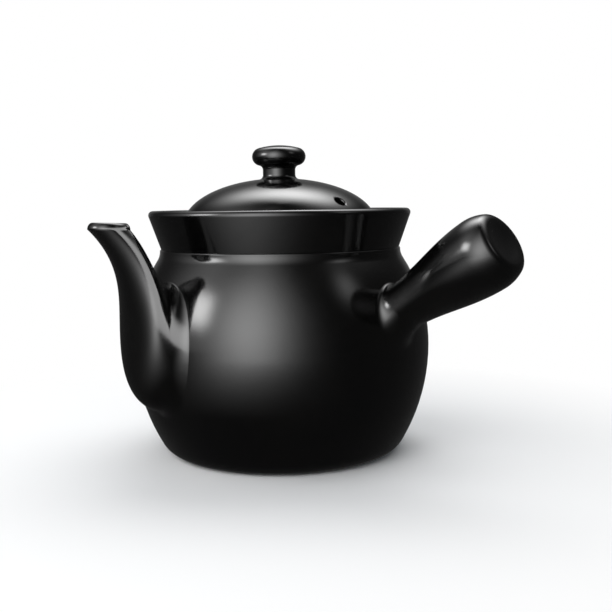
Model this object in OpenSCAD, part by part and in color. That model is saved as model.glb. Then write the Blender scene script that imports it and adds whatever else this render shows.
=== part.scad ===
// Stoneware pot for simmering herbal medicine, with a side handle and a loose lid.
// A round vessel with a flared collar carries a lofted spout over a pierced strainer
// and a hollow tapered handle. The domed lid drops into a gallery inside the collar.
// Millimetres, +Z up. Origin: centre of the foot on the ground. The spout points to -X.

/* [Vessel] */
// Greatest diameter of the belly
belly_d = 172; // [158:1:190]
// Height of the widest level above the ground
belly_z = 62; // [50:1:74]
// Diameter where the lower wall would meet the ground if its edge were sharp
base_d = 134; // [120:1:146]
// Radius of the rounded bottom edge
base_edge_r = 14; // [6:0.5:18]
// Thickness of the vessel's wall
wall = 5; // [4:0.25:7]
// Thickness of the floor over the hollow of the foot
floor_t = 6; // [4:0.25:9]
// Radius of the rounding between floor and wall inside
floor_fillet_r = 14; // [6:1:20]
// Width of the flat ring that the pot stands on
foot_ring_w = 8; // [4:0.5:14]
// Depth of the hollow inside the foot ring
foot_hollow = 2; // [0.5:0.25:3]

/* [Neck and collar] */
// Outer diameter at the crease under the collar
neck_d = 139.5; // [130:0.5:146]
// Height of the crease
neck_z = 117.5; // [108:0.5:126]
// Radius of the hollow curve that leads from the shoulder into the crease
neck_fillet_r = 10; // [5:1:20]
// Size of the small rounded step at the crease
crease_step = 0.8; // [0.4:0.1:1.2]
// Outer diameter of the rim
rim_d = 151.5; // [149:0.5:166]
// Height of the rim
rim_z = 140.5; // [136:0.5:150]
// Thickness of the collar, whose top edge is fully rounded
collar_t = 5; // [4:0.25:6]
// Depth of the gallery, from the rim down to the seat of the lid
seat_depth = 13; // [8:0.5:15]
// Clear diameter of the mouth inside the seat
mouth_d = 120; // [104:1:124]
// Height of the mouth's straight edge under the seat
seat_edge_t = 3.5; // [2:0.5:5]

/* [Lid] */
// Play between the lid's flange and the gallery, on the radius
flange_play = 1.5; // [0.8:0.1:2.5]
// Gap that the glaze leaves between the lid and its seat
seat_gap = 0.3; // [0.2:0.1:0.6]
// Thickness of the lid
lid_t = 4; // [3:0.25:5]
// Outer diameter of the dome where it leaves the flange
dome_d = 112; // [100:0.5:116]
// Height of the dome above the flange
dome_h = 26.6; // [18:0.2:34]
// Play between the lid's skirt and the mouth, on the radius
skirt_play = 1.5; // [0.8:0.1:2.5]
// Thickness of the skirt
skirt_t = 4; // [3:0.25:5]
// Length of the skirt below the seat
skirt_h = 8; // [5:0.5:12]
// Diameter of the steam vent
vent_d = 6; // [3:0.25:7]
// Distance of the steam vent from the lid's axis
vent_radius = 49; // [34:0.5:50]
// Turn of the steam vent from the spout, seen from above
vent_angle = 94; // [0:1:359]

/* [Knob] */
// Diameter of the knob's cap
knob_d = 31; // [26:0.5:40]
// Radius of the cap's rounded edge
knob_edge_r = 5.1; // [4:0.1:7]
// Slope where the cap's edge runs into its crown, in degrees
crown_slope = 15; // [8:1:25]
// Diameter of the knob's stem
knob_stem_d = 18.8; // [14:0.2:21]
// Radius of the hollow curves at both ends of the stem
knob_fillet_r = 2.6; // [1.5:0.1:3.5]
// Height of the knob above its seat on the dome
knob_h = 19.5; // [17:0.5:26]

/* [Spout] */
// Distance of the spout's tip from the vessel's axis, without its rounded lip
spout_reach = 122; // [114:1:134]
// Height of the spout's tip, without its rounded lip
spout_z = 132.2; // [124:0.2:140]
// Length of the pouring mouth, from its back to its tip
spout_mouth_l = 21.8; // [16:0.2:28]
// Width of the pouring mouth
spout_mouth_w = 20.8; // [15:0.2:26]
// Height of the lowest point of the spout's root
spout_root_z = 31.5; // [26:0.5:40]
// Height of the spout's root, from its lowest to its highest point
spout_root_h = 62.7; // [50:0.1:68]
// Width of the spout's root
spout_root_w = 42; // [34:1:48]
// Width that the spout's swelling over its root is drawn towards
spout_swell_w = 46; // [38:1:54]
// Width that the spout's throat below its mouth is drawn towards
spout_throat_w = 31.6; // [26:0.2:36]
// How far the spout's underside swells out over its root
spout_belly = 48; // [38:1:56]
// Thickness of the spout's wall
spout_wall = 3.6; // [2.8:0.2:4.6]
// Number of sides of the lofted spout
spout_sides = 44; // [24:4:64]
// Number of rings along the lofted spout
spout_rings = 26; // [16:2:36]

/* [Strainer] */
// Diameter of the strainer's holes
strainer_hole_d = 5; // [3.5:0.25:6]
// Distance from one strainer hole to the next
strainer_pitch = 9; // [7.5:0.25:13]
// Width of the pierced field
strainer_w = 27; // [18:1:28]
// Height of the pierced field
strainer_h = 46; // [26:1:48]
// Height of the middle of the pierced field
strainer_z = 66; // [62:1:70]

/* [Handle] */
// Turn of the handle from the spout, seen from above
handle_angle = 100; // [80:1:180]
// Rise of the handle above the horizontal, in degrees
handle_rise = 31; // [20:1:36]
// Height of the handle's axis where it meets the vessel
handle_z = 86.3; // [80:0.1:92]
// Length of the handle along its axis, outside the vessel
handle_l = 73.3; // [60:0.1:90]
// Diameter of the handle's waist
handle_waist_d = 25.8; // [22:0.2:32]
// Distance of the waist from the vessel, along the handle's axis
handle_waist_l = 2; // [0:0.5:10]
// How far the handle's root flares beyond the waist, on the radius
handle_flare = 13; // [5:0.5:18]
// Diameter of the handle's bulb
handle_bulb_d = 39.2; // [34:0.2:44]
// Distance of the bulb's widest place from the handle's end
handle_bulb_l = 13; // [10:0.5:16]
// Radius of the bulb's outline beyond its widest place
handle_bulb_r = 22; // [19:1:40]
// Radius of the rounded edge round the handle's end face
handle_edge_r = 5; // [2.5:0.5:7]
// Depth of the dish in the handle's end face
handle_dish = 1.2; // [0.5:0.1:2]
// Thickness of the handle's wall
handle_wall = 4; // [3:0.25:5]
// Diameter of the vent hole under the handle that lets its hollow dry and fire
handle_vent_d = 3; // [2:0.25:4]

/* [Hidden] */
$fn = 96;
eps = 0.01;

glaze_color = [0.07, 0.07, 0.075];
lid_color = [0.10, 0.10, 0.11];
knob_color = [0.14, 0.14, 0.15];
spout_color = [0.12, 0.12, 0.13];
handle_color = [0.09, 0.09, 0.10];

// Steps along each arc of a profile, one for about this many degrees
arc_step = 5;

belly_r = belly_d / 2;
neck_r = neck_d / 2;
rim_r = rim_d / 2;
mouth_r = mouth_d / 2;

// Lower wall: one arc, upright at the belly, that passes through the base diameter
lower_in = belly_r - base_d / 2;
lower_r = (belly_z * belly_z + lower_in * lower_in) / (2 * lower_in);
lower_c = [belly_r - lower_r, belly_z];
// Bottom edge: touches the ground and the lower wall
base_edge_c = [lower_c.x + leg(lower_r - base_edge_r, belly_z - base_edge_r), base_edge_r];
base_edge_a = angle_of(base_edge_c - lower_c);
// Floor fillet: touches the floor and the inside of the lower wall
floor_z = foot_hollow + floor_t;
floor_c = [lower_c.x + leg(lower_r - wall - floor_fillet_r, belly_z - floor_z - floor_fillet_r),
           floor_z + floor_fillet_r];
floor_a = angle_of(floor_c - lower_c);
// Shoulder: upright at the belly, and runs into the hollow curve that is upright at the crease
neck_in = belly_r - neck_r;
neck_rise = neck_z - belly_z;
shoulder_r = (neck_in * neck_in + neck_rise * neck_rise) / (2 * neck_in) - neck_fillet_r;
shoulder_c = [belly_r - shoulder_r, belly_z];
neck_c = [neck_r + neck_fillet_r, neck_z];
neck_a = angle_of(neck_c - shoulder_c);
// Collar: a cone from the crease that touches the rounded lip
lip_r = collar_t / 2;
lip_c = [rim_r - lip_r, rim_z - lip_r];
collar_foot = [neck_r - crease_step, neck_z + crease_step];
collar_a = angle_of(lip_c - collar_foot) - asin(lip_r / norm(lip_c - collar_foot));
// Gallery and seat
seat_z = rim_z - seat_depth;
gallery_top = lip_c + polar(lip_r, collar_a + 90);
gallery_r = gallery_top.x - (gallery_top.y - seat_z) / tan(collar_a);

// Lid: flange on the seat, half-ellipse dome, skirt through the mouth
flange_r = gallery_r - flange_play;
flange_z = seat_z + seat_gap;
dome_z = flange_z + lid_t;
dome_r = dome_d / 2;
skirt_r = mouth_r - skirt_play;
skirt_z = flange_z - skirt_h;
flange_edge_r = lid_t / 2;
skirt_edge_r = skirt_t / 2;
// Knob: the pad that it stands on is as wide as the foot of its stem
stem_r = knob_stem_d / 2;
knob_foot_r = stem_r + knob_fillet_r;
knob_pad_a = acos(knob_foot_r / dome_r);
knob_z = dome_z + dome_h * sin(knob_pad_a);
cap_c_r = knob_d / 2 - knob_edge_r;
crown_r = (cap_c_r + knob_edge_r * sin(crown_slope)) / sin(crown_slope);
crown_rise = knob_edge_r * cos(crown_slope) + crown_r * (1 - cos(crown_slope));
cap_c = [cap_c_r, knob_z + knob_h - crown_rise];
under_dx = cap_c_r - stem_r - knob_fillet_r;
under_c = [stem_r + knob_fillet_r, cap_c.y - leg(knob_edge_r + knob_fillet_r, under_dx)];
under_a = angle_of(cap_c - under_c);
// Steam vent: drilled square to the dome's surface
vent_a = acos(vent_radius / dome_r);
vent_z = dome_z + dome_h * sin(vent_a);
vent_tilt = angle_of([dome_h * cos(vent_a), dome_r * sin(vent_a)]);

// Spout: two edge curves in the plane of the spout, its underside and its upper side
spout_sink = 4;
belly_lift = 7.3;
throat_turn = [1.4, -1.2];
back_drop = 0.85;
low_pull = [0.43, 0.30];
high_pull = [0.35, 0.33];
spout_start = [belly_r - wall - spout_sink, spout_root_z];
upper_start = spout_start + [0, spout_root_h];
tip = [spout_reach, spout_z];
mouth_back = tip - [spout_mouth_l, back_drop];
upper_run = mouth_back - upper_start;
under_edge = [spout_start, spout_start + [spout_belly, belly_lift], upper_start + throat_turn, tip];
upper_edge = [upper_start,
              upper_start + [low_pull.x * upper_run.x, low_pull.y * upper_run.y],
              mouth_back - [high_pull.x * upper_run.x, high_pull.y * upper_run.y],
              mouth_back];
half_widths = [spout_root_w, spout_swell_w, spout_throat_w, spout_mouth_w] / 2;
lip_steps = 6;

// Handle: stations along its axis, from inside the vessel to the flat end face
handle_start = -16;
shaft_steps = 22;
bulb_s = handle_l - handle_bulb_l;
waist_r = handle_waist_d / 2;
bulb_r = handle_bulb_d / 2;
bulb_c = [bulb_r - handle_bulb_r, bulb_s];
bulb_a = asin((handle_bulb_l - handle_edge_r) / (handle_bulb_r - handle_edge_r));
handle_edge_c = bulb_c + polar(handle_bulb_r - handle_edge_r, bulb_a);
face_r = handle_edge_c.x;
dish_r = (face_r * face_r + handle_dish * handle_dish) / (2 * handle_dish);
handle_root_r = shoulder_c.x + leg(shoulder_r, handle_z - belly_z);

function leg(hypotenuse, side) = sqrt(hypotenuse * hypotenuse - side * side);
function angle_of(v) = atan2(v.y, v.x);
function polar(r, a) = [r * cos(a), r * sin(a)];
// Points of an arc round c, from angle a0 to angle a1
function arc(c, r, a0, a1) =
    let (n = max(2, ceil(abs(a1 - a0) / arc_step)))
    [for (i = [0:n]) c + polar(r, a0 + (a1 - a0) * i / n)];
// Points of an ellipse round c with half-axes rx and ry
function ellipse_arc(c, rx, ry, a0, a1) =
    let (n = max(2, ceil(abs(a1 - a0) / arc_step)))
    [for (i = [0:n]) let (a = a0 + (a1 - a0) * i / n) c + [rx * cos(a), ry * sin(a)]];
// Point at t of the cubic curve with control values p
function cubic(p, t) =
    pow(1 - t, 3) * p[0] + 3 * pow(1 - t, 2) * t * p[1]
    + 3 * (1 - t) * t * t * p[2] + pow(t, 3) * p[3];

// Outline of the vessel's outside below the crease, from the ground upwards
function outside_below() = concat(
    arc(base_edge_c, base_edge_r, -90, base_edge_a),
    arc(lower_c, lower_r, base_edge_a, 0),
    arc(shoulder_c, shoulder_r, 0, neck_a),
    arc(neck_c, neck_fillet_r, 180 + neck_a, 180));

// Outline of the vessel's inside, from the seat of the lid down to the floor
function inside_below() = concat(
    [[mouth_r, seat_z], [mouth_r, seat_z - seat_edge_t]],
    arc(neck_c, neck_fillet_r + wall, 180, 180 + neck_a),
    arc(shoulder_c, shoulder_r - wall, neck_a, 0),
    arc(lower_c, lower_r - wall, 0, floor_a),
    arc(floor_c, floor_fillet_r, floor_a, -90));

// The whole vessel's outer form without any hollow
module vessel_form() {
    rotate_extrude()
        polygon(concat([[0, 0]], outside_below(), [[0, neck_z]]));
}

module strainer_holes() {
    row_h = strainer_pitch * sin(60);
    rows = floor(strainer_h / 2 / row_h);
    cols = floor(strainer_w / 2 / strainer_pitch);
    for (row = [-rows:rows], col = [-cols - 1:cols + 1]) {
        y = (col + (row % 2 == 0 ? 0 : 0.5)) * strainer_pitch;
        z = row * row_h;
        inside = pow(2 * y / strainer_w, 2) + pow(2 * z / strainer_h, 2) <= 1;
        if (inside)
            translate([0, y, strainer_z + z])
                rotate([0, -90, 0])
                    cylinder(d = strainer_hole_d, h = belly_r + wall);
    }
}

module pot_body() {
    color(glaze_color)
        difference() {
            rotate_extrude()
                polygon(concat(
                    [[0, foot_hollow], [base_edge_c.x - foot_ring_w - foot_hollow, foot_hollow],
                     [base_edge_c.x - foot_ring_w, 0]],
                    outside_below(),
                    arc([neck_r - crease_step, neck_z], crease_step, 0, 90),
                    arc(lip_c, lip_r, collar_a - 90, collar_a + 90),
                    [[gallery_r, seat_z]],
                    inside_below(),
                    [[0, floor_z]]));
            strainer_holes();
        }
}

// Ring of the lofted spout between a point of its underside and one of its upper side
function spout_ring(under, upper, half_w, inset) =
    let (mid = (under + upper) / 2, half = (under - upper) / 2,
         shrink = 1 - inset / norm(half))
    [for (i = [0:spout_sides - 1])
        let (a = 360 * i / spout_sides, p = mid + half * shrink * cos(a))
        [-p.x, (half_w - inset) * sin(a), p.y]];

function spout_ring_at(t, inset) =
    spout_ring(cubic(under_edge, t), cubic(upper_edge, t), cubic(half_widths, t), inset);

// Rings of the rounded lip, from the outside over the top to the inside
function lip_rings() =
    let (along = under_edge[3] - upper_edge[3], dir = along / norm(along),
         out = [-dir.y, dir.x], r = spout_wall / 2)
    [for (i = [1:lip_steps - 1])
        let (a = 180 * i / lip_steps, lift = out * r * sin(a))
        spout_ring(under_edge[3] + lift, upper_edge[3] + lift, half_widths[3],
                   r * (1 - cos(a)))];

// Closed skin through a loop of rings that all have the same number of points
module skin(rings) {
    n = len(rings[0]);
    m = len(rings);
    polyhedron(
        points = [for (ring = rings) each ring],
        faces = [for (j = [0:m - 1], i = [0:n - 1])
            let (a = j * n + i, b = j * n + (i + 1) % n,
                 c = ((j + 1) % m) * n + (i + 1) % n, d = ((j + 1) % m) * n + i)
            each [[a, b, c], [a, c, d]]]);
}

module spout() {
    steps = spout_rings - 1;
    outside = [for (j = [0:steps]) spout_ring_at(j / steps, 0)];
    inside = [for (j = [steps:-1:0]) spout_ring_at(j / steps, spout_wall)];
    color(spout_color)
        difference() {
            skin(concat(outside, lip_rings(), inside));
            vessel_form();
        }
}

// Radius of the handle's shaft at distance s along its axis
function shaft_radius(s) =
    s < handle_waist_l
        ? waist_r + handle_flare * pow((handle_waist_l - s) / (handle_waist_l - handle_start), 2)
        : waist_r + (bulb_r - waist_r)
          * (1 - cos(180 * (s - handle_waist_l) / (bulb_s - handle_waist_l))) / 2;

// Outline of the shaft, from inside the vessel to the bulb, drawn in by inset
function shaft_outline(inset) =
    [for (i = [0:shaft_steps - 1])
        let (s = handle_start + (bulb_s - handle_start) * i / shaft_steps)
        [shaft_radius(s) - inset, s]];

module handle_form() {
    rotate_extrude()
        polygon(concat(
            [[0, handle_start]],
            shaft_outline(0),
            arc(bulb_c, handle_bulb_r, 0, bulb_a),
            arc(handle_edge_c, handle_edge_r, bulb_a, 90),
            arc([0, handle_l - handle_dish + dish_r], dish_r, asin(face_r / dish_r) - 90, -90)));
}

module handle_hollow() {
    end_s = handle_l - handle_dish - handle_wall;
    hollow_r = handle_bulb_r - handle_wall;
    rotate_extrude()
        polygon(concat(
            [[0, handle_start - eps], [shaft_radius(handle_start) - handle_wall, handle_start - eps]],
            shaft_outline(handle_wall),
            arc(bulb_c, hollow_r, 0, asin((end_s - bulb_s) / hollow_r)),
            [[0, end_s]]));
}

module on_handle_axis() {
    rotate([0, 0, 180 + handle_angle])
        translate([handle_root_r, 0, handle_z])
            rotate([0, 90 - handle_rise, 0])
                children();
}

module handle() {
    color(handle_color)
        difference() {
            on_handle_axis()
                difference() {
                    handle_form();
                    handle_hollow();
                    translate([0, 0, (handle_waist_l + bulb_s) / 2])
                        rotate([0, 90, 0])
                            cylinder(d = handle_vent_d, h = bulb_r + handle_wall);
                }
            vessel_form();
        }
}

module lid() {
    color(lid_color)
        difference() {
            rotate_extrude()
                polygon(concat(
                    arc([flange_r - flange_edge_r, flange_z + flange_edge_r], flange_edge_r, -90, 90),
                    ellipse_arc([0, dome_z], dome_r, dome_h, 0, knob_pad_a),
                    [[0, knob_z], [0, dome_z + dome_h - lid_t]],
                    ellipse_arc([0, dome_z], dome_r - lid_t, dome_h - lid_t, 85, 0),
                    arc([skirt_r - skirt_edge_r, skirt_z + skirt_edge_r], skirt_edge_r, 180, 360),
                    [[skirt_r, flange_z]]));
            rotate([0, 0, 180 + vent_angle])
                translate([vent_radius, 0, vent_z])
                    rotate([0, 90 - vent_tilt, 0])
                        cylinder(d = vent_d, h = 4 * lid_t, center = true);
        }
}

module lid_knob() {
    color(knob_color)
        rotate_extrude()
            polygon(concat(
                [[0, knob_z]],
                arc([knob_foot_r, knob_z + knob_fillet_r], knob_fillet_r, 270, 180),
                arc(under_c, knob_fillet_r, 180, under_a),
                arc(cap_c, knob_edge_r, under_a - 180, 90 - crown_slope),
                arc([0, knob_z + knob_h - crown_r], crown_r, 90 - crown_slope, 90)));
}

pot_body();
spout();
handle();
lid();
lid_knob();
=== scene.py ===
"""A dark-glazed stoneware pot for simmering herbal medicine, in a plain pale studio.

Lengths are metres and angles are degrees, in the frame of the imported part: +Z up along the
vessel's axis, the spout to -X. Every profile is a list of (radius, height) points.
"""
import math

import bmesh
import bpy
import numpy as np
from mathutils import Matrix, Vector


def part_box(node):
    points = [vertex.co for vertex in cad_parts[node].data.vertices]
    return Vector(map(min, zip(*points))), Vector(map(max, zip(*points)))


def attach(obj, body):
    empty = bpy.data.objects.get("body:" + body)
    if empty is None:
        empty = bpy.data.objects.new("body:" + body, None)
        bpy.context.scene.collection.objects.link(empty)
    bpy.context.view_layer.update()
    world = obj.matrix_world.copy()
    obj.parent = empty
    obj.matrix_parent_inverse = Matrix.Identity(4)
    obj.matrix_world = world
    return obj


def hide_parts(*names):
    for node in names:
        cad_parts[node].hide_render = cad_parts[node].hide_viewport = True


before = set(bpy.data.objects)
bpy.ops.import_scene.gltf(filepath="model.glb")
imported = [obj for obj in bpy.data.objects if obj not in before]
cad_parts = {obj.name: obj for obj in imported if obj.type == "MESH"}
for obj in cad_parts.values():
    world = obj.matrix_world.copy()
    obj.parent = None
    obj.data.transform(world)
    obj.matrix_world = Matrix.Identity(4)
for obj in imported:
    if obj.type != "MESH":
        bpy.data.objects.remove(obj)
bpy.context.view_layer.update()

MM = 0.001

# Fineness of the meshes
TURNS = 288
ARC_STEP = 3.0
SINK = 0.12 * MM

# Vessel, from the ground up to the crease
BELLY_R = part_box("pot_body")[1].x
BELLY_Z = 62 * MM
BASE_R = 67 * MM
BASE_EDGE_R = 14 * MM
WALL = 5 * MM
FLOOR_T = 6 * MM
FLOOR_FILLET_R = 14 * MM
FOOT_RING_W = 8 * MM
FOOT_HOLLOW = 2 * MM
FOOT_EASE_R = 0.7 * MM

# Neck and collar
NECK_R = 69.75 * MM
NECK_Z = 117.5 * MM
NECK_FILLET_R = 10 * MM
CREASE_STEP = 0.8 * MM
RIM_R = 75.75 * MM
RIM_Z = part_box("pot_body")[1].z
COLLAR_T = 5 * MM
SEAT_DEPTH = 13 * MM
SEAT_EASE_R = 0.8 * MM
MOUTH_R = 60 * MM
SEAT_EDGE_T = 3.5 * MM

# Lid
FLANGE_PLAY = 1.5 * MM
SEAT_GAP = 0.3 * MM
LID_T = 4 * MM
DOME_R = 56 * MM
DOME_H = 26.6 * MM
SKIRT_PLAY = 1.5 * MM
SKIRT_T = 4 * MM
SKIRT_H = 8 * MM
VENT_R = 3 * MM
VENT_LIP_R = 1.3 * MM
VENT_RADIUS = 49 * MM
VENT_TURN = 94

# Knob
KNOB_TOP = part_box("lid_knob")[1].z
KNOB_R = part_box("lid_knob")[1].x
KNOB_EDGE_R = 5.1 * MM
CROWN_SLOPE = 15
STEM_R = 9.4 * MM
KNOB_FILLET_R = 2.6 * MM

# Spout: its two edge curves lie in the plane y = 0
SPOUT_REACH = -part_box("spout")[0].x
SPOUT_Z = 132.2 * MM
MOUTH_L = 21.8 * MM
MOUTH_W = 20.8 * MM
MOUTH_BACK_DROP = 0.85 * MM
ROOT_Z = 31.5 * MM
ROOT_H = 62.7 * MM
ROOT_W = 42 * MM
SWELL_W = 46 * MM
THROAT_W = 31.6 * MM
SPOUT_BELLY = 48 * MM
BELLY_LIFT = 7.3 * MM
SPOUT_SINK = 4 * MM
SPOUT_WALL = 3.6 * MM
SPOUT_LIP_T = 5.2 * MM
SPOUT_LIP_H = 3.5 * MM
# Power by which the wall thickens towards the lip
LIP_SWELL = 8
SPOUT_SIDES = 144
SPOUT_RINGS = 110
# Luted joints: width up the piece and out on the wall, on the upper side and on the underside
SPOUT_WELD = (15 * MM, 7 * MM)
SPOUT_WELD_LOW = (3.5 * MM, 3.5 * MM)
SPOUT_PULL = (0.7, 0.15)

# Strainer
STRAINER_HOLE_R = 2.5 * MM
STRAINER_PITCH = 9 * MM
STRAINER_W = 27 * MM
STRAINER_H = 46 * MM
STRAINER_Z = 66 * MM

# Handle
HANDLE_TURN = 100
HANDLE_RISE = 31
HANDLE_Z = 86.3 * MM
HANDLE_L = 73.3 * MM
WAIST_R = 12.9 * MM
WAIST_L = 2 * MM
HANDLE_FLARE = 13 * MM
HANDLE_START = -16 * MM
BULB_R = 19.6 * MM
BULB_L = 13 * MM
BULB_ARC_R = 22 * MM
HANDLE_EDGE_R = 5 * MM
HANDLE_DISH = 1.2 * MM
HANDLE_WALL = 4 * MM
HANDLE_SIDES = 160
HANDLE_RINGS = 120
HANDLE_WELD = (4 * MM, 3.5 * MM)
HANDLE_WELD_LOW = (14 * MM, 6 * MM)
HANDLE_WELD_BIAS = 1.5
HANDLE_VENT_R = 1.5 * MM

# Camera, as the photograph shows the pot: azimuths count from the photographer's side
CAMERA_AZIMUTH = 231.5
CAMERA_DISTANCE = 550.9 * MM
CAMERA_HEIGHT = 143.9 * MM
CAMERA_PAN = 1.51
CAMERA_TILT = -6.25
CAMERA_ROLL = -0.80
FOCAL_LENGTH = 55.3
SENSOR_WIDTH = 36

# Finishes: darkest and palest tone
GLAZE_TONES = ((0.0009, 0.0009, 0.0010), (0.0022, 0.0021, 0.0019))
GLAZE_IOR = 1.5
CLAY_TONES = ((0.17, 0.13, 0.095), (0.26, 0.205, 0.155))
FLOOR_TONE = 0.88

# Studio: radiances, where 1 is white
FILL_COLOUR = (0.9, 0.95, 1.0)
FILL_LEVEL = 0.35
FLOOR_R = 6.0
WHITE_FROM = 0.11
WHITE_PAST = 0.30
DISC_SIDES = 96
# Lamps for shading and shadow: name, azimuth, elevation, distance, width, height and radiance
LAMPS = (
    ("main_softbox", -26, 30, 0.95, 1.25, 1.2, 3.6),
    ("left_softbox", -88, 25, 0.80, 1.0, 1.0, 2.6),
    ("overhead_softbox", 155, 60, 1.0, 2.2, 0.8, 4.0))
LAMP_SOFTNESS = 0.9
# Dark screens that only gloss sees. They keep the white backdrop out of the glaze's reflections
SCREEN_LEVEL = 0.05
SCREEN_R = 1.8
BACK_GLOW = 0.2
BACK_GLOW_EDGE = 0.75
REFLECTOR_R = 1.71
# Panels that the glaze mirrors: azimuth, elevation, half width, half height, radiance and edge,
# where 2 fades out softly and 8 ends crisply
MAIN_PANEL = (-25, 17, 28, 35, 5.6, 2)
LEFT_PANEL = (-75, 32, 26, 30, 1.6, 2)
LEFT_CORE = (-69, 24, 12, 10, 12.0, 3)
OVERHEAD_PANEL = (166, 65, 55, 16, 9.0, 2)
RIGHT_CARD = (62, 38, 10, 9, 1.3, 2)
SPOUT_PANEL = (60, 12, 85, 17, 6.5, 4)
# Disc on the floor that only gloss sees, a painted reflection: dark, with a painted pool of the main panel's
# light that grows out from the pot
APRON_START = 0.12
APRON_REACH = 0.35
APRON_BEND = 1.3
APRON_LIFT = 0.2 * MM


# ---------------------------------------------------------------- curves and profiles

def leg(hypotenuse, side):
    return math.sqrt(hypotenuse ** 2 - side ** 2)


def polar(radius, angle):
    return np.array([radius * math.cos(math.radians(angle)),
                     radius * math.sin(math.radians(angle))])


def angle_of(vector):
    return math.degrees(math.atan2(vector[1], vector[0]))


def arc(centre, radius, start, end, radius_2=None):
    """Points of an arc, or of an ellipse's arc where the second half-axis is given."""
    steps = max(3, math.ceil(abs(end - start) / ARC_STEP))
    angles = np.radians(np.linspace(start, end, steps + 1))
    return [np.array([centre[0] + radius * math.cos(a),
                      centre[1] + (radius_2 or radius) * math.sin(a)]) for a in angles]


def straight(start, end, steps):
    """Points strictly between two points."""
    start = np.array(start)
    end = np.array(end)
    return [start + (end - start) * i / steps for i in range(1, steps)]


def cubic(values, t):
    """Point at t of the cubic curve with these four control values."""
    p = [np.asarray(v, float) for v in values]
    return ((1 - t) ** 3 * p[0] + 3 * (1 - t) ** 2 * t * p[1]
            + 3 * (1 - t) * t ** 2 * p[2] + t ** 3 * p[3])


class VesselShape:
    """Circles that the vessel's outline is drawn with."""

    lower_in = BELLY_R - BASE_R
    lower_r = (BELLY_Z ** 2 + lower_in ** 2) / (2 * lower_in)
    lower_c = (BELLY_R - lower_r, BELLY_Z)
    base_c = (lower_c[0] + leg(lower_r - BASE_EDGE_R, BELLY_Z - BASE_EDGE_R), BASE_EDGE_R)
    base_a = angle_of((base_c[0] - lower_c[0], base_c[1] - lower_c[1]))
    neck_in = BELLY_R - NECK_R
    neck_rise = NECK_Z - BELLY_Z
    shoulder_r = (neck_in ** 2 + neck_rise ** 2) / (2 * neck_in) - NECK_FILLET_R
    shoulder_c = (BELLY_R - shoulder_r, BELLY_Z)
    neck_c = (NECK_R + NECK_FILLET_R, NECK_Z)
    neck_a = angle_of((neck_c[0] - shoulder_c[0], neck_c[1] - shoulder_c[1]))
    floor_z = FOOT_HOLLOW + FLOOR_T
    floor_c = (lower_c[0] + leg(lower_r - WALL - FLOOR_FILLET_R,
                                BELLY_Z - floor_z - FLOOR_FILLET_R), floor_z + FLOOR_FILLET_R)
    floor_a = angle_of((floor_c[0] - lower_c[0], floor_c[1] - lower_c[1]))
    lip_r = COLLAR_T / 2
    lip_c = (RIM_R - lip_r, RIM_Z - lip_r)
    collar_foot = (NECK_R - CREASE_STEP, NECK_Z + CREASE_STEP)
    collar_run = (lip_c[0] - collar_foot[0], lip_c[1] - collar_foot[1])
    collar_a = angle_of(collar_run) - math.degrees(math.asin(lip_r / math.hypot(*collar_run)))
    seat_z = RIM_Z - SEAT_DEPTH
    gallery_top = np.array(lip_c) + polar(lip_r, collar_a + 90)
    gallery_r = gallery_top[0] - (gallery_top[1] - seat_z) / math.tan(math.radians(collar_a))
    foot_in_r = base_c[0] - FOOT_RING_W


def outside_outline():
    """The vessel's outside from the ground up to the crease."""
    v = VesselShape
    return (arc(v.base_c, BASE_EDGE_R, -90, v.base_a)
            + arc(v.lower_c, v.lower_r, v.base_a, 0)[1:]
            + arc(v.shoulder_c, v.shoulder_r, 0, v.neck_a)[1:]
            + arc(v.neck_c, NECK_FILLET_R, 180 + v.neck_a, 180)[1:])


def vessel_outline():
    """Parts of the vessel's outline in order, each with the name of its finish."""
    v = VesselShape
    ease = FOOT_EASE_R
    under = ([(0, FOOT_HOLLOW)] + straight((0, FOOT_HOLLOW), (v.foot_in_r - FOOT_HOLLOW, FOOT_HOLLOW), 12)
             + arc((v.foot_in_r - FOOT_HOLLOW, FOOT_HOLLOW - ease), ease, 90, 45)
             + arc((v.foot_in_r + ease, ease), ease, 225, 270)
             + straight((v.foot_in_r + ease, 0), (v.base_c[0], 0), 4))
    outside = outside_outline()
    collar = (arc((NECK_R - CREASE_STEP, NECK_Z), CREASE_STEP, 12, 90)
              + arc(v.lip_c, v.lip_r, v.collar_a - 90, v.collar_a + 90))
    gallery = [v.gallery_top, np.array((v.gallery_r, v.seat_z))]
    seat = ([(v.gallery_r - SEAT_EASE_R, v.seat_z)]
            + arc((MOUTH_R + SEAT_EASE_R, v.seat_z - SEAT_EASE_R), SEAT_EASE_R, 90, 180))
    inside = ([(MOUTH_R, v.seat_z - SEAT_EDGE_T)]
              + arc(v.neck_c, NECK_FILLET_R + WALL, 180, 180 + v.neck_a)
              + arc(v.shoulder_c, v.shoulder_r - WALL, v.neck_a, 0)[1:]
              + arc(v.lower_c, v.lower_r - WALL, 0, v.floor_a)[1:]
              + arc(v.floor_c, FLOOR_FILLET_R, v.floor_a, -90)[1:]
              + straight((v.floor_c[0], v.floor_z), (0, v.floor_z), 12) + [(0, v.floor_z)])
    return [(under, "clay"), (outside, "glaze"), (collar, "glaze"), (gallery[:1], "glaze"),
            (straight(gallery[0], gallery[1], 6), "glaze"), (seat, "clay"), (inside, "glaze")]


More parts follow.
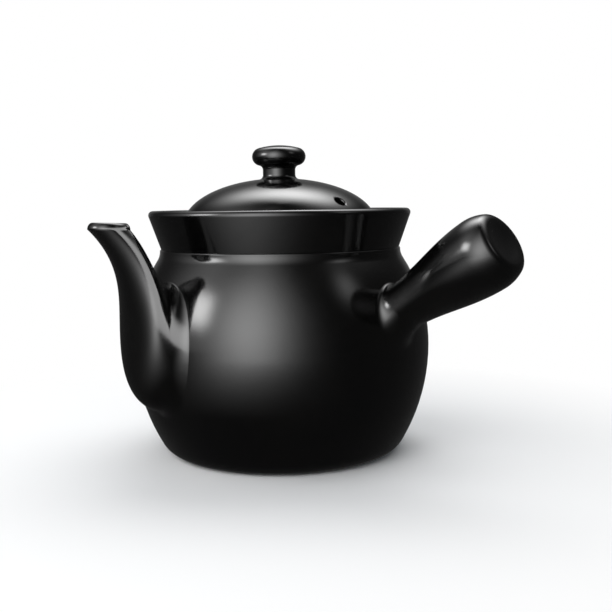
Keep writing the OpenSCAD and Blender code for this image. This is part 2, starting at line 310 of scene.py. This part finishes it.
class LidShape:
    """Levels and radii of the lid and its knob."""

    flange_r = VesselShape.gallery_r - FLANGE_PLAY
    flange_z = VesselShape.seat_z + SEAT_GAP
    dome_z = flange_z + LID_T
    skirt_r = MOUTH_R - SKIRT_PLAY
    skirt_z = flange_z - SKIRT_H
    knob_foot_r = STEM_R + KNOB_FILLET_R
    knob_z = dome_z + DOME_H * leg(1, knob_foot_r / DOME_R)
    cap_r = KNOB_R - KNOB_EDGE_R
    crown_r = ((cap_r + KNOB_EDGE_R * math.sin(math.radians(CROWN_SLOPE)))
               / math.sin(math.radians(CROWN_SLOPE)))
    crown_rise = (KNOB_EDGE_R * math.cos(math.radians(CROWN_SLOPE))
                  + crown_r * (1 - math.cos(math.radians(CROWN_SLOPE))))
    cap_c = (cap_r, KNOB_TOP - crown_rise)
    under_c = (knob_foot_r, cap_c[1] - leg(KNOB_EDGE_R + KNOB_FILLET_R, cap_r - knob_foot_r))
    under_a = angle_of((cap_c[0] - under_c[0], cap_c[1] - under_c[1]))
    vent_a = math.degrees(math.acos(VENT_RADIUS / DOME_R))
    vent_z = dome_z + DOME_H * math.sin(math.radians(vent_a))
    vent_tilt = angle_of((DOME_H * math.cos(math.radians(vent_a)),
                          DOME_R * math.sin(math.radians(vent_a))))


def lid_outline():
    s = LidShape
    half = LID_T / 2
    skirt = SKIRT_T / 2
    inner_r = DOME_R - LID_T
    inner_h = DOME_H - LID_T
    dome = arc((0, s.dome_z), DOME_R, 90, 0, DOME_H)
    top = dome + straight((DOME_R, s.dome_z), (s.flange_r - half, s.dome_z), 5)
    edge = arc((s.flange_r - half, s.flange_z + half), half, 90, -90)
    seat = (straight((s.flange_r - half, s.flange_z), (s.skirt_r + SEAT_EASE_R, s.flange_z), 4)
            + arc((s.skirt_r + SEAT_EASE_R, s.flange_z - SEAT_EASE_R), SEAT_EASE_R, 90, 180))
    below = (arc((s.skirt_r - skirt, s.skirt_z + skirt), skirt, 0, -180)
             + arc((0, s.dome_z), inner_r, 0, 90, inner_h))
    return [(top, "glaze"), (edge, "glaze"), (seat, "clay"), (below, "glaze")]


def knob_outline():
    s = LidShape
    foot = arc((s.knob_foot_r, s.knob_z + KNOB_FILLET_R), KNOB_FILLET_R, 262, 180)
    return [([(0, foot[0][1])] + foot
             + arc(s.under_c, KNOB_FILLET_R, 180, s.under_a)
             + arc(s.cap_c, KNOB_EDGE_R, s.under_a - 180, 90 - CROWN_SLOPE)[1:]
             + arc((0, KNOB_TOP - s.crown_r), s.crown_r, 90 - CROWN_SLOPE, 90)[1:], "glaze")]


# ---------------------------------------------------------------- meshes

def new_object(name, mesh_bm, materials):
    bmesh.ops.recalc_face_normals(mesh_bm, faces=mesh_bm.faces)
    mesh = bpy.data.meshes.new(name)
    mesh_bm.to_mesh(mesh)
    mesh_bm.free()
    for material in materials:
        mesh.materials.append(material)
    for polygon in mesh.polygons:
        polygon.use_smooth = True
    obj = bpy.data.objects.new(name, mesh)
    bpy.context.scene.collection.objects.link(obj)
    return obj


def clean(points, gap=0.02 * MM):
    """The points without those that repeat the one before."""
    kept = [points[0]]
    for point in points[1:]:
        if math.hypot(point[0][0] - kept[-1][0][0], point[0][1] - kept[-1][0][1]) > gap:
            kept.append(point)
    return kept


def revolve(name, parts, finishes, turns=TURNS):
    """Turns an outline that starts and ends on the axis. finishes maps finish names to materials."""
    names = list(finishes)
    points = clean([(tuple(p), finish) for part, finish in parts for p in part])
    bm = bmesh.new()
    rings = []
    for (radius, height), _ in points:
        if radius < 1e-7:
            rings.append([bm.verts.new((0, 0, height))])
            continue
        angles = [2 * math.pi * i / turns for i in range(turns)]
        rings.append([bm.verts.new((radius * math.cos(a), radius * math.sin(a), height)) for a in angles])
    for (low, high), (_, finish) in zip(zip(rings, rings[1:]), points[1:]):
        for i in range(turns):
            j = (i + 1) % turns
            corners = [low[i % len(low)], low[j % len(low)], high[j % len(high)], high[i % len(high)]]
            face = bm.faces.new(list(dict.fromkeys(corners)))
            face.material_index = names.index(finish)
    return new_object(name, bm, [finishes[n] for n in names])


def grid(name, rings, materials, closed=True, pole=None):
    """Skin over rings that have the same number of points. closed joins the last ring to the first."""
    bm = bmesh.new()
    rows = [[bm.verts.new(tuple(p)) for p in ring] for ring in rings]
    count = len(rows[0])
    pairs = list(zip(rows, rows[1:])) + ([(rows[-1], rows[0])] if closed else [])
    for low, high in pairs:
        for i in range(count):
            j = (i + 1) % count
            bm.faces.new((low[i], low[j], high[j], high[i]))
    if pole is not None:
        for row, point in zip((rows[0], rows[-1]), pole):
            tip = bm.verts.new(tuple(point))
            for i in range(count):
                bm.faces.new((row[i], row[(i + 1) % count], tip))
    return new_object(name, bm, materials)


def cut(obj, cutters):
    """Takes the cutters out of obj and leaves a crisp edge round each hole."""
    for cutter in cutters:
        modifier = obj.modifiers.new("cut", "BOOLEAN")
        modifier.operation = "DIFFERENCE"
        modifier.solver = "EXACT"
        modifier.object = cutter
    applied = bpy.data.meshes.new_from_object(obj.evaluated_get(bpy.context.evaluated_depsgraph_get()))
    obj.modifiers.clear()
    obj.data = applied
    for cutter in cutters:
        bpy.data.objects.remove(cutter)
    bm = bmesh.new()
    bm.from_mesh(applied)
    for edge in bm.edges:
        if len(edge.link_faces) == 2 and edge.calc_face_angle() > math.radians(40):
            edge.smooth = False
    bm.to_mesh(applied)
    bm.free()


def spindle(name, outline, matrix, turns=40):
    """A small turned cutter, placed by a matrix."""
    obj = revolve(name, [(outline, "cut")], {"cut": None}, turns)
    obj.data.transform(matrix)
    return obj


# ---------------------------------------------------------------- welded joints

class Wall:
    """The vessel's outside as a polyline, for distances from it."""

    line = np.array(outside_outline())
    start = line[:-1]
    run = line[1:] - line[:-1]
    length_2 = (run ** 2).sum(1)

    @classmethod
    def nearest(cls, points):
        """(signed distance, foot point, outward normal) of points on the outside wall."""
        points = np.asarray(points, float)
        flat = points.reshape(-1, 3)
        radius = np.hypot(flat[:, 0], flat[:, 1])
        p = np.stack([radius, flat[:, 2]], 1)[:, None, :]
        t = np.clip(((p - cls.start) * cls.run).sum(2) / cls.length_2, 0, 1)
        foot = cls.start + t[..., None] * cls.run
        best = ((p - foot) ** 2).sum(2).argmin(1)
        foot = foot[np.arange(len(foot)), best]
        run = cls.run[best]
        normal = np.stack([run[:, 1], -run[:, 0]], 1) / np.sqrt(cls.length_2[best])[:, None]
        distance = ((p[:, 0] - foot) * normal).sum(1)
        around = flat[:, :2] / radius[:, None]
        foot_3 = np.concatenate([around * foot[:, :1], foot[:, 1:]], 1)
        normal_3 = np.concatenate([around * normal[:, :1], normal[:, 1:]], 1)
        shape = points.shape
        return distance.reshape(shape[:-1]), foot_3.reshape(shape), normal_3.reshape(shape)


def unit(vectors):
    return vectors / np.linalg.norm(vectors, axis=-1, keepdims=True)


def welded_rings(side_lines, up, out, rings, fillet_rings=14, pull=(0.62, 0.62)):
    """Rings from the free end down to the vessel, ending in a luted fillet that runs out on its wall.

    side_lines[i] is a dense line of points down one side of the piece, from its free end
    into the vessel. There the fillet is up[i] wide along the piece and out[i] along the wall.
    pull says how smoothly it leaves the piece and meets the wall, where 0 is a crisp edge.
    """
    distance, _, _ = Wall.nearest(side_lines)
    count = len(side_lines)
    bodies = []
    contacts = np.zeros((count, 3))
    for i, line in enumerate(side_lines):
        hit = int(np.argmax(distance[i] < 0))
        share = distance[i][hit - 1] / (distance[i][hit - 1] - distance[i][hit])
        contacts[i] = line[hit - 1] + (line[hit] - line[hit - 1]) * share
        path = np.vstack([line[:hit], contacts[i]])
        along = np.concatenate([[0], np.cumsum(np.linalg.norm(np.diff(path, axis=0), axis=1))])
        stops = np.linspace(0, along[-1] - up[i], rings)
        bodies.append(np.stack([np.interp(stops, along, path[:, k]) for k in range(3)], 1))
    body = np.array(bodies)
    _, _, wall_normal = Wall.nearest(contacts)
    around = np.roll(contacts, -1, 0) - np.roll(contacts, 1, 0)
    outward = unit(np.cross(around, wall_normal))
    middle = contacts.mean(0)
    flip = np.sign(((contacts - middle) * outward).sum(1))
    flip = np.where(flip == 0, 1, flip)
    _, landing, landing_normal = Wall.nearest(contacts + outward * (flip * out)[:, None])
    landing = landing - landing_normal * SINK
    start = body[:, -1]
    controls = [start, start + pull[0] * (contacts - start),
                landing + pull[1] * (contacts - landing), landing]
    fillet = [cubic(controls, j / fillet_rings) for j in range(1, fillet_rings + 1)]
    return [body[:, j] for j in range(rings)] + fillet


def rings_to_wall(side_lines, rings):
    """Rings down the side lines of a hollow, from their start to just under the vessel's outside."""
    distance, _, _ = Wall.nearest(side_lines)
    last = (distance < -2 * SINK).argmax(1)
    rows = np.arange(len(side_lines))
    result = []
    for j in range(rings):
        place = last * j / (rings - 1)
        low = np.minimum(np.floor(place).astype(int), side_lines.shape[1] - 2)
        share = (place - low)[:, None]
        result.append(side_lines[rows, low] * (1 - share) + side_lines[rows, low + 1] * share)
    return result


def under_wall(points, depth):
    """The points moved to a depth below the vessel's outside."""
    _, foot, normal = Wall.nearest(points)
    return foot - normal * depth


# ---------------------------------------------------------------- pieces

def make_vessel(finishes):
    vessel = revolve("vessel", vessel_outline(), finishes)
    drill = []
    row_h = STRAINER_PITCH * math.sin(math.radians(60))
    rows = int(STRAINER_H / 2 // row_h)
    columns = int(STRAINER_W / 2 // STRAINER_PITCH) + 1
    for row in range(-rows, rows + 1):
        for column in range(-columns, columns + 1):
            y = (column + 0.5 * (row % 2)) * STRAINER_PITCH
            z = row * row_h
            if (2 * y / STRAINER_W) ** 2 + (2 * z / STRAINER_H) ** 2 > 1:
                continue
            middle = -leg(BELLY_R - WALL / 2, y)
            place = Matrix.Translation((middle, y, STRAINER_Z + z)) @ Matrix.Rotation(math.pi / 2, 4, "Y")
            outline = [(0, -2 * WALL), (STRAINER_HOLE_R, -2 * WALL),
                       (STRAINER_HOLE_R, 2 * WALL), (0, 2 * WALL)]
            drill.append(spindle("drill", outline, place, 28))
    cut(vessel, [joined("drills", drill)])
    return vessel


def joined(name, objects):
    bm = bmesh.new()
    for obj in objects:
        bm.from_mesh(obj.data)
        bpy.data.objects.remove(obj)
    mesh = bpy.data.meshes.new(name)
    bm.to_mesh(mesh)
    bm.free()
    obj = bpy.data.objects.new(name, mesh)
    bpy.context.scene.collection.objects.link(obj)
    return obj


def spout_section(under, upper, half_w, inset, angle):
    """Point of a section between a point of the spout's underside and one of its upper side."""
    half = (under - upper) / 2
    p = (under + upper) / 2 + half * (1 - inset / np.linalg.norm(half)) * math.cos(angle)
    return np.array([-p[0], (half_w - inset) * math.sin(angle), p[1]])


def spout_edges(t):
    """Points of the underside and the upper side, and half the width, at t along the spout."""
    start = np.array([BELLY_R - WALL - SPOUT_SINK, ROOT_Z])
    upper_start = start + [0, ROOT_H]
    tip = np.array([SPOUT_REACH, SPOUT_Z])
    back = tip - [MOUTH_L, MOUTH_BACK_DROP]
    run = back - upper_start
    under = cubic([start, start + [SPOUT_BELLY, BELLY_LIFT], upper_start + [1.4 * MM, -1.2 * MM], tip], t)
    upper = cubic([upper_start, upper_start + [0.43 * run[0], 0.30 * run[1]],
                   back - [0.35 * run[0], 0.33 * run[1]], back], t)
    return under, upper, cubic([ROOT_W / 2, SWELL_W / 2, THROAT_W / 2, MOUTH_W / 2], t)


def spout_line(angle, inset=lambda t: 0.0, steps=240):
    """Points down one side of the spout's skin, from its mouth to its root."""
    return [spout_section(*spout_edges(t), inset(t), angle) for t in np.linspace(1, 0, steps)]


def lip_rings(angles, steps=12):
    """Rings of the rounded lip, from the outside over the top to the inside."""
    under, upper, half_w = spout_edges(1)
    along = unit(under - upper)
    lift = np.array([-along[1], along[0]]) * SPOUT_LIP_H
    rings = []
    for turn in np.linspace(0, math.pi, steps + 1)[1:-1]:
        rise = lift * math.sin(turn)
        inset = SPOUT_LIP_T / 2 * (1 - math.cos(turn))
        rings.append(np.array([spout_section(under + rise, upper + rise, half_w, inset, a) for a in angles]))
    return rings


def make_spout(glaze):
    angles = np.linspace(0, 2 * math.pi, SPOUT_SIDES, endpoint=False)
    high = (1 - np.cos(angles)) / 2
    up, out = [low + (top - low) * high for top, low in zip(SPOUT_WELD, SPOUT_WELD_LOW)]
    outside = welded_rings(np.array([spout_line(a) for a in angles]), up, out, SPOUT_RINGS,
                           pull=SPOUT_PULL)
    inner = np.array([spout_line(a, lambda t: SPOUT_WALL + (SPOUT_LIP_T - SPOUT_WALL) * t ** LIP_SWELL)
                      for a in angles])
    inside = rings_to_wall(inner, SPOUT_RINGS // 2)
    sunk = [under_wall(outside[-1], 1 * MM), under_wall(inside[-1], 1 * MM)]
    return grid("spout_shell", outside + sunk + inside[::-1] + lip_rings(angles)[::-1], [glaze])


class HandleShape:
    """The handle's place, and circles of its outline along its own axis."""

    root_r = VesselShape.shoulder_c[0] + leg(VesselShape.shoulder_r, HANDLE_Z - BELLY_Z)
    matrix = (Matrix.Rotation(math.radians(180 + HANDLE_TURN), 4, "Z")
              @ Matrix.Translation((root_r, 0, HANDLE_Z))
              @ Matrix.Rotation(math.radians(90 - HANDLE_RISE), 4, "Y"))
    bulb_s = HANDLE_L - BULB_L
    bulb_c = (BULB_R - BULB_ARC_R, bulb_s)
    bulb_a = math.degrees(math.asin((BULB_L - HANDLE_EDGE_R) / (BULB_ARC_R - HANDLE_EDGE_R)))
    edge_c = np.array(bulb_c) + polar(BULB_ARC_R - HANDLE_EDGE_R, bulb_a)
    face_r = edge_c[0]
    dish_r = (face_r ** 2 + HANDLE_DISH ** 2) / (2 * HANDLE_DISH)
    end_s = HANDLE_L - HANDLE_DISH - HANDLE_WALL


def shaft_radius(s):
    """Radius of the handle's shaft at distance s along its axis."""
    if s < WAIST_L:
        return WAIST_R + HANDLE_FLARE * ((WAIST_L - s) / (WAIST_L - HANDLE_START)) ** 2
    share = (s - WAIST_L) / (HandleShape.bulb_s - WAIST_L)
    return WAIST_R + (BULB_R - WAIST_R) * (1 - math.cos(math.pi * share)) / 2


def around_handle(outline):
    """The outline's points turned about the handle's axis: one line of points per side."""
    angles = np.linspace(0, 2 * math.pi, HANDLE_SIDES, endpoint=False)
    radius = np.array([p[0] for p in outline])
    along = np.array([p[1] for p in outline])
    local = np.stack([np.outer(np.cos(angles), radius), np.outer(np.sin(angles), radius),
                      np.tile(along, (HANDLE_SIDES, 1)), np.ones((HANDLE_SIDES, len(radius)))], 2)
    return (local @ np.array(HandleShape.matrix).T)[..., :3]


def make_handle(glaze):
    h = HandleShape
    stations = np.linspace(h.bulb_s, HANDLE_START, 220)
    dish_half = math.degrees(math.asin(h.face_r / h.dish_r))
    dish = arc((0, HANDLE_L - HANDLE_DISH + h.dish_r), h.dish_r, -90, -90 + dish_half)[1:]
    end = (dish + arc(h.edge_c, HANDLE_EDGE_R, 90, h.bulb_a)[1:]
           + arc(h.bulb_c, BULB_ARC_R, h.bulb_a, 0)[1:-1])
    shaft = [(shaft_radius(s), s) for s in stations]
    low = (1 + np.cos(np.linspace(0, 2 * math.pi, HANDLE_SIDES, endpoint=False))) / 2
    up, out = [top + (bottom - top) * low ** HANDLE_WELD_BIAS
               for top, bottom in zip(HANDLE_WELD, HANDLE_WELD_LOW)]
    outside = welded_rings(around_handle(shaft), up, out, HANDLE_RINGS)
    hollow_r = BULB_ARC_R - HANDLE_WALL
    hollow_a = math.degrees(math.asin((h.end_s - h.bulb_s) / hollow_r))
    inner = around_handle([(shaft_radius(s) - HANDLE_WALL, s) for s in stations])
    inside = rings_to_wall(inner, 50)
    end_outside = around_handle(end)
    end_rings = [end_outside[:, j] for j in range(end_outside.shape[1])]
    roof = around_handle(arc(h.bulb_c, hollow_r, hollow_a, 0)[:-1])
    roof_rings = [roof[:, j] for j in range(roof.shape[1])]
    sunk = [under_wall(outside[-1], 1 * MM), under_wall(inside[-1], 1 * MM)]
    rings = end_rings + outside + sunk + inside[::-1] + roof_rings[::-1]
    poles = [(h.matrix @ Vector((0, 0, s)))[:] for s in (HANDLE_L - HANDLE_DISH, h.end_s)]
    handle = grid("handle_shell", rings, [glaze], closed=False, pole=poles)
    vent_s = (WAIST_L + h.bulb_s) / 2
    outline = [(0, 0), (HANDLE_VENT_R, 0), (HANDLE_VENT_R, 2 * BULB_R), (0, 2 * BULB_R)]
    place = h.matrix @ Matrix.Translation((0, 0, vent_s)) @ Matrix.Rotation(math.pi / 2, 4, "Y")
    cut(handle, [spindle("vent", outline, place)])
    return handle


def make_lid(finishes):
    s = LidShape
    lid = revolve("lid_dome", lid_outline(), finishes)
    lip = arc((VENT_R + VENT_LIP_R, -VENT_LIP_R), VENT_LIP_R, 180, 92)
    outline = [(0, -3 * LID_T), (VENT_R, -3 * LID_T)] + lip + [(lip[-1][0], LID_T), (0, LID_T)]
    place = (Matrix.Rotation(math.radians(180 + VENT_TURN), 4, "Z")
             @ Matrix.Translation((VENT_RADIUS, 0, s.vent_z))
             @ Matrix.Rotation(math.radians(90 - s.vent_tilt), 4, "Y"))
    cut(lid, [spindle("vent", outline, place, 48)])
    return lid


# ---------------------------------------------------------------- materials

class Nodes:
    """Short calls for a node tree."""

    def __init__(self, owner):
        owner.use_nodes = True
        self.tree = owner.node_tree
        self.shader = self.tree.nodes.get("Principled BSDF")

    def add(self, kind, **settings):
        node = self.tree.nodes.new(kind)
        for key, value in settings.items():
            if hasattr(node, key):
                setattr(node, key, value)
            else:
                node.inputs[key.replace("_", " ")].default_value = value
        return node

    def link(self, source, target):
        self.tree.links.new(source, target)

    def math(self, operation, first, second=None):
        node = self.add("ShaderNodeMath", operation=operation)
        for socket, value in zip(node.inputs, (first, second)):
            if isinstance(value, bpy.types.NodeSocket):
                self.link(value, socket)
            elif value is not None:
                socket.default_value = value
        return node.outputs[0]

    def dot(self, place, direction):
        node = self.add("ShaderNodeVectorMath", operation="DOT_PRODUCT")
        self.link(place, node.inputs[0])
        node.inputs[1].default_value = direction
        return node.outputs["Value"]

    def decay(self, value):
        return self.math("EXPONENT", self.math("MULTIPLY", value, -1.0))

    def length(self, place):
        node = self.add("ShaderNodeVectorMath", operation="LENGTH")
        self.link(place, node.inputs[0])
        return node.outputs["Value"]

    def emission(self, strength):
        node = self.add("ShaderNodeEmission")
        self.link(strength, node.inputs["Strength"])
        return node.outputs[0]

    def surface(self, shader):
        self.link(shader, self.tree.nodes["Material Output"].inputs["Surface"])

    def noise(self, scale, detail=4.0, roughness=0.55):
        place = self.add("ShaderNodeTexCoord")
        node = self.add("ShaderNodeTexNoise", Scale=scale, Detail=detail, Roughness=roughness)
        self.link(place.outputs["Object"], node.inputs["Vector"])
        return node.outputs["Fac"]

    def spread(self, value, low, high, out_low, out_high):
        node = self.add("ShaderNodeMapRange", From_Min=low, From_Max=high, To_Min=out_low, To_Max=out_high)
        self.link(value, node.inputs["Value"])
        return node.outputs["Result"]

    def mix(self, factor, first, second):
        node = self.add("ShaderNodeMix", data_type="RGBA")
        self.link(factor, node.inputs["Factor"])
        for socket, value in (("A", first), ("B", second)):
            target = [i for i in node.inputs if i.name == socket and i.type == "RGBA"][0]
            target.default_value = (*value, 1)
        return [o for o in node.outputs if o.type == "RGBA"][0]

    def bump(self, height, distance, strength=1.0, below=None):
        node = self.add("ShaderNodeBump", Strength=strength, Distance=distance)
        self.link(height, node.inputs["Height"])
        if below is not None:
            self.link(below, node.inputs["Normal"])
        return node.outputs["Normal"]


def glaze_material():
    """Black glaze: soft drift of colour and gloss, a low swell and a faint orange peel."""
    material = bpy.data.materials.new("black_glaze")
    n = Nodes(material)
    drift = n.spread(n.noise(18.0), 0.35, 0.7, 0.0, 1.0)
    n.link(n.mix(drift, *GLAZE_TONES), n.shader.inputs["Base Color"])
    n.link(n.spread(n.noise(90.0, 3.0), 0.3, 0.7, 0.10, 0.16), n.shader.inputs["Roughness"])
    n.shader.inputs["IOR"].default_value = GLAZE_IOR
    swell = n.bump(n.noise(45.0, 2.0), 0.00025, 0.35)
    peel = n.bump(n.noise(700.0, 2.0), 0.00003, 0.35, swell)
    n.link(peel, n.shader.inputs["Normal"])
    return material


def clay_material():
    """Bare stoneware where the pot stands and where lid and seat touched in the kiln."""
    material = bpy.data.materials.new("bare_stoneware")
    n = Nodes(material)
    tone = n.spread(n.noise(140.0, 6.0), 0.35, 0.65, 0.0, 1.0)
    n.link(n.mix(tone, *CLAY_TONES), n.shader.inputs["Base Color"])
    n.link(n.spread(n.noise(400.0), 0.3, 0.7, 0.78, 0.92), n.shader.inputs["Roughness"])
    n.link(n.bump(n.noise(1500.0, 5.0), 0.0002, 0.6), n.shader.inputs["Normal"])
    return material


# ---------------------------------------------------------------- studio

def studio_direction(azimuth, elevation):
    """Direction from the pot, counted from the photographer: azimuth to their right."""
    turn = math.radians(CAMERA_AZIMUTH + azimuth)
    rise = math.radians(elevation)
    return Vector((math.cos(turn) * math.cos(rise), math.sin(turn) * math.cos(rise), math.sin(rise)))


def make_camera():
    data = bpy.data.cameras.new("camera")
    data.sensor_width = SENSOR_WIDTH
    data.lens = FOCAL_LENGTH
    camera = bpy.data.objects.new("camera", data)
    place = studio_direction(0, 0) * CAMERA_DISTANCE + Vector((0, 0, CAMERA_HEIGHT))
    facing = Matrix.Rotation(math.radians(CAMERA_AZIMUTH + 90), 4, "Z")
    camera.matrix_world = (Matrix.Translation(place) @ facing
                           @ Matrix.Rotation(math.radians(-CAMERA_PAN), 4, "Z")
                           @ Matrix.Rotation(math.radians(90 + CAMERA_TILT), 4, "X")
                           @ Matrix.Rotation(math.radians(CAMERA_ROLL), 4, "Z"))
    bpy.context.scene.collection.objects.link(camera)
    bpy.context.scene.camera = camera


def soft_light(name, azimuth, elevation, distance, width, height, radiance):
    """A softbox that faces the pot, brightest in its middle and fading out towards its edges."""
    data = bpy.data.lights.new(name, "AREA")
    data.shape = "RECTANGLE"
    data.size = width
    data.size_y = height
    data.energy = radiance * math.pi * width * height
    n = Nodes(data)
    place = n.add("ShaderNodeNewGeometry")
    split = n.add("ShaderNodeSeparateXYZ")
    n.link(place.outputs["Parametric"], split.inputs["Vector"])
    sides = []
    for axis in ("X", "Y"):
        off = n.math("ABSOLUTE", n.math("SUBTRACT", split.outputs[axis], 0.5))
        fade = n.add("ShaderNodeMapRange", interpolation_type="SMOOTHSTEP",
                     From_Min=0.5, From_Max=0.5 - 0.5 * LAMP_SOFTNESS)
        n.link(off, fade.inputs["Value"])
        sides.append(fade.outputs["Result"])
    emission = next(node for node in n.tree.nodes if node.type == "EMISSION")
    n.link(n.math("MULTIPLY", *sides), emission.inputs["Strength"])
    light = bpy.data.objects.new(name, data)
    direction = studio_direction(azimuth, elevation)
    light.location = Vector((0, 0, BELLY_Z)) + direction * distance
    light.rotation_euler = direction.to_track_quat("Z", "Y").to_euler()
    light.visible_camera = False
    light.visible_glossy = False
    bpy.context.scene.collection.objects.link(light)


def seen_directly(n):
    """Socket that is 1 for camera, glossy and transmission rays."""
    path = n.add("ShaderNodeLightPath")
    total = path.outputs["Is Camera Ray"]
    for name in ("Is Glossy Ray", "Is Transmission Ray"):
        total = n.math("MAXIMUM", total, path.outputs[name])
    return total


def make_world():
    """White to look at, with a cool fill for the shading."""
    world = bpy.data.worlds.new("studio")
    bpy.context.scene.world = world
    n = Nodes(world)
    n.tree.nodes.clear()
    mix = n.add("ShaderNodeMixShader")
    n.link(seen_directly(n), mix.inputs[0])
    for slot, (colour, strength) in enumerate(((FILL_COLOUR, FILL_LEVEL), ((1.0, 1.0, 1.0), 1.0)), 1):
        background = n.add("ShaderNodeBackground", Color=(*colour, 1), Strength=strength)
        n.link(background.outputs[0], mix.inputs[slot])
    n.link(mix.outputs[0], n.add("ShaderNodeOutputWorld").inputs["Surface"])


def make_floor():
    """Pale floor with the pot's shadow, which turns white away from the pot."""
    material = bpy.data.materials.new("pale_floor")
    n = Nodes(material)
    n.shader.inputs["Base Color"].default_value = (FLOOR_TONE, FLOOR_TONE, FLOOR_TONE, 1)
    n.shader.inputs["Roughness"].default_value = 0.9
    n.shader.inputs["Specular IOR Level"].default_value = 0.1
    place = n.add("ShaderNodeTexCoord")
    far = n.spread(n.length(place.outputs["Object"]), WHITE_FROM, WHITE_PAST, 0.0, 1.0)
    mix = n.add("ShaderNodeMixShader")
    n.link(n.math("MULTIPLY", far, seen_directly(n)), mix.inputs[0])
    n.link(n.shader.outputs[0], mix.inputs[1])
    n.link(n.add("ShaderNodeEmission", Strength=1.0).outputs[0], mix.inputs[2])
    n.surface(mix.outputs[0])
    new_object("floor", disc_mesh(FLOOR_R), [material])


def disc_mesh(radius, height=0.0):
    bm = bmesh.new()
    bmesh.ops.create_circle(bm, cap_ends=True, segments=DISC_SIDES, radius=radius)
    bmesh.ops.translate(bm, verts=bm.verts, vec=(0, 0, height))
    return bm


def only_for_gloss(obj):
    """Makes a screen that only gloss sees, so that it neither shows nor shades."""
    obj.visible_camera = False
    obj.visible_diffuse = False
    obj.visible_transmission = False
    obj.visible_shadow = False


def across(n, place, azimuth, half_width, edge):
    """How far a direction is off a panel's middle, sideways, as a power of its half width."""
    ahead = n.dot(place, studio_direction(azimuth, 0))
    aside = n.dot(place, studio_direction(azimuth + 90, 0))
    turn = n.math("ABSOLUTE", n.math("ARCTAN2", aside, ahead))
    return n.math("POWER", n.math("DIVIDE", turn, math.radians(half_width)), edge)


def panel(n, place, azimuth, elevation, half_width, half_height, radiance, edge):
    """Strength of a soft panel on the screens, with place on their unit sphere."""
    rise = n.math("ARCSINE", n.dot(place, (0, 0, 1)))
    off = n.math("ABSOLUTE", n.math("SUBTRACT", rise, math.radians(elevation)))
    up = n.math("POWER", n.math("DIVIDE", off, math.radians(half_height)), edge)
    total = n.math("ADD", up, across(n, place, azimuth, half_width, edge))
    return n.math("MULTIPLY", n.decay(total), radiance)


def place_on_sphere(n):
    """Sockets with the place itself, and with its direction from the pot."""
    place = n.add("ShaderNodeTexCoord")
    away = n.add("ShaderNodeVectorMath", operation="NORMALIZE")
    n.link(place.outputs["Object"], away.inputs[0])
    return place.outputs["Object"], away.outputs["Vector"]


def screen_mesh(radius, step=10):
    """Half sphere of flat screens over the pot."""
    bm = bmesh.new()
    for azimuth in range(0, 360, step):
        for elevation in range(0, 90, step):
            corners = [(azimuth, elevation), (azimuth + step, elevation),
                       (azimuth + step, elevation + step), (azimuth, elevation + step)]
            bm.faces.new([bm.verts.new(studio_direction(*c) * radius) for c in corners])
    return bm


def make_screens():
    """Dark screens all round with soft panels on them, a little lighter straight behind the pot."""
    material = bpy.data.materials.new("dark_screen")
    n = Nodes(material)
    _, away = place_on_sphere(n)
    level = n.spread(n.dot(away, studio_direction(180, 2)), BACK_GLOW_EDGE, 1.0, SCREEN_LEVEL, BACK_GLOW)
    for values in (MAIN_PANEL, LEFT_PANEL, LEFT_CORE, OVERHEAD_PANEL, RIGHT_CARD):
        level = n.math("ADD", level, panel(n, away, *values))
    n.surface(n.emission(level))
    only_for_gloss(new_object("screens", screen_mesh(SCREEN_R), [material]))


def make_spout_reflector():
    """See-through panel round the spout's side, which shines on the spout alone."""
    material = bpy.data.materials.new("spout_reflector")
    n = Nodes(material)
    _, away = place_on_sphere(n)
    both = n.add("ShaderNodeAddShader")
    n.link(n.add("ShaderNodeBsdfTransparent").outputs[0], both.inputs[0])
    n.link(n.emission(panel(n, away, *SPOUT_PANEL)), both.inputs[1])
    n.surface(both.outputs[0])
    reflector = new_object("spout_reflector", screen_mesh(REFLECTOR_R), [material])
    only_for_gloss(reflector)
    lit_alone = bpy.data.collections.new("spout_only")
    lit_alone.objects.link(bpy.data.objects["spout_shell"])
    reflector.light_linking.receiver_collection = lit_alone


def make_apron():
    """Disc on the floor that only gloss sees, with a painted reflection: dark, and a painted soft pool of
    the main panel's light.
    """
    material = bpy.data.materials.new("painted_floor_reflection")
    n = Nodes(material)
    place, away = place_on_sphere(n)
    azimuth, elevation, half_width, half_height, radiance, edge = MAIN_PANEL
    horizon = radiance * math.exp(-(elevation / half_height) ** edge)
    side = n.decay(across(n, away, azimuth, half_width, edge))
    # Painted pool of light: the main panel's strength at the horizon, growing from nothing near the pot
    # outwards
    out = n.math("MAXIMUM", n.math("SUBTRACT", n.length(place), APRON_START), 0.0)
    out = n.math("POWER", n.math("DIVIDE", out, APRON_REACH), APRON_BEND)
    grown = n.math("SUBTRACT", 1.0, n.decay(out))
    painted_pool = n.math("MULTIPLY", n.math("MULTIPLY", grown, side), horizon)
    n.surface(n.emission(n.math("ADD", painted_pool, SCREEN_LEVEL)))
    only_for_gloss(new_object("apron", disc_mesh(SCREEN_R, APRON_LIFT), [material]))


# ---------------------------------------------------------------- scene

def place_piece(piece, body, node):
    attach(piece, body)
    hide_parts(node)


glaze = glaze_material()
clay = clay_material()
finishes = {"glaze": glaze, "clay": clay}

place_piece(make_vessel(finishes), "pot", "pot_body")
place_piece(make_spout(glaze), "pot", "spout")
place_piece(make_handle(glaze), "pot", "handle")
place_piece(make_lid(finishes), "lid", "lid")
place_piece(revolve("knob", knob_outline(), {"glaze": glaze}, 192), "lid", "lid_knob")

make_floor()
make_screens()
make_spout_reflector()
make_apron()
make_world()
make_camera()
for lamp in LAMPS:
    soft_light(*lamp)
bpy.context.scene.view_settings.view_transform = "Standard"
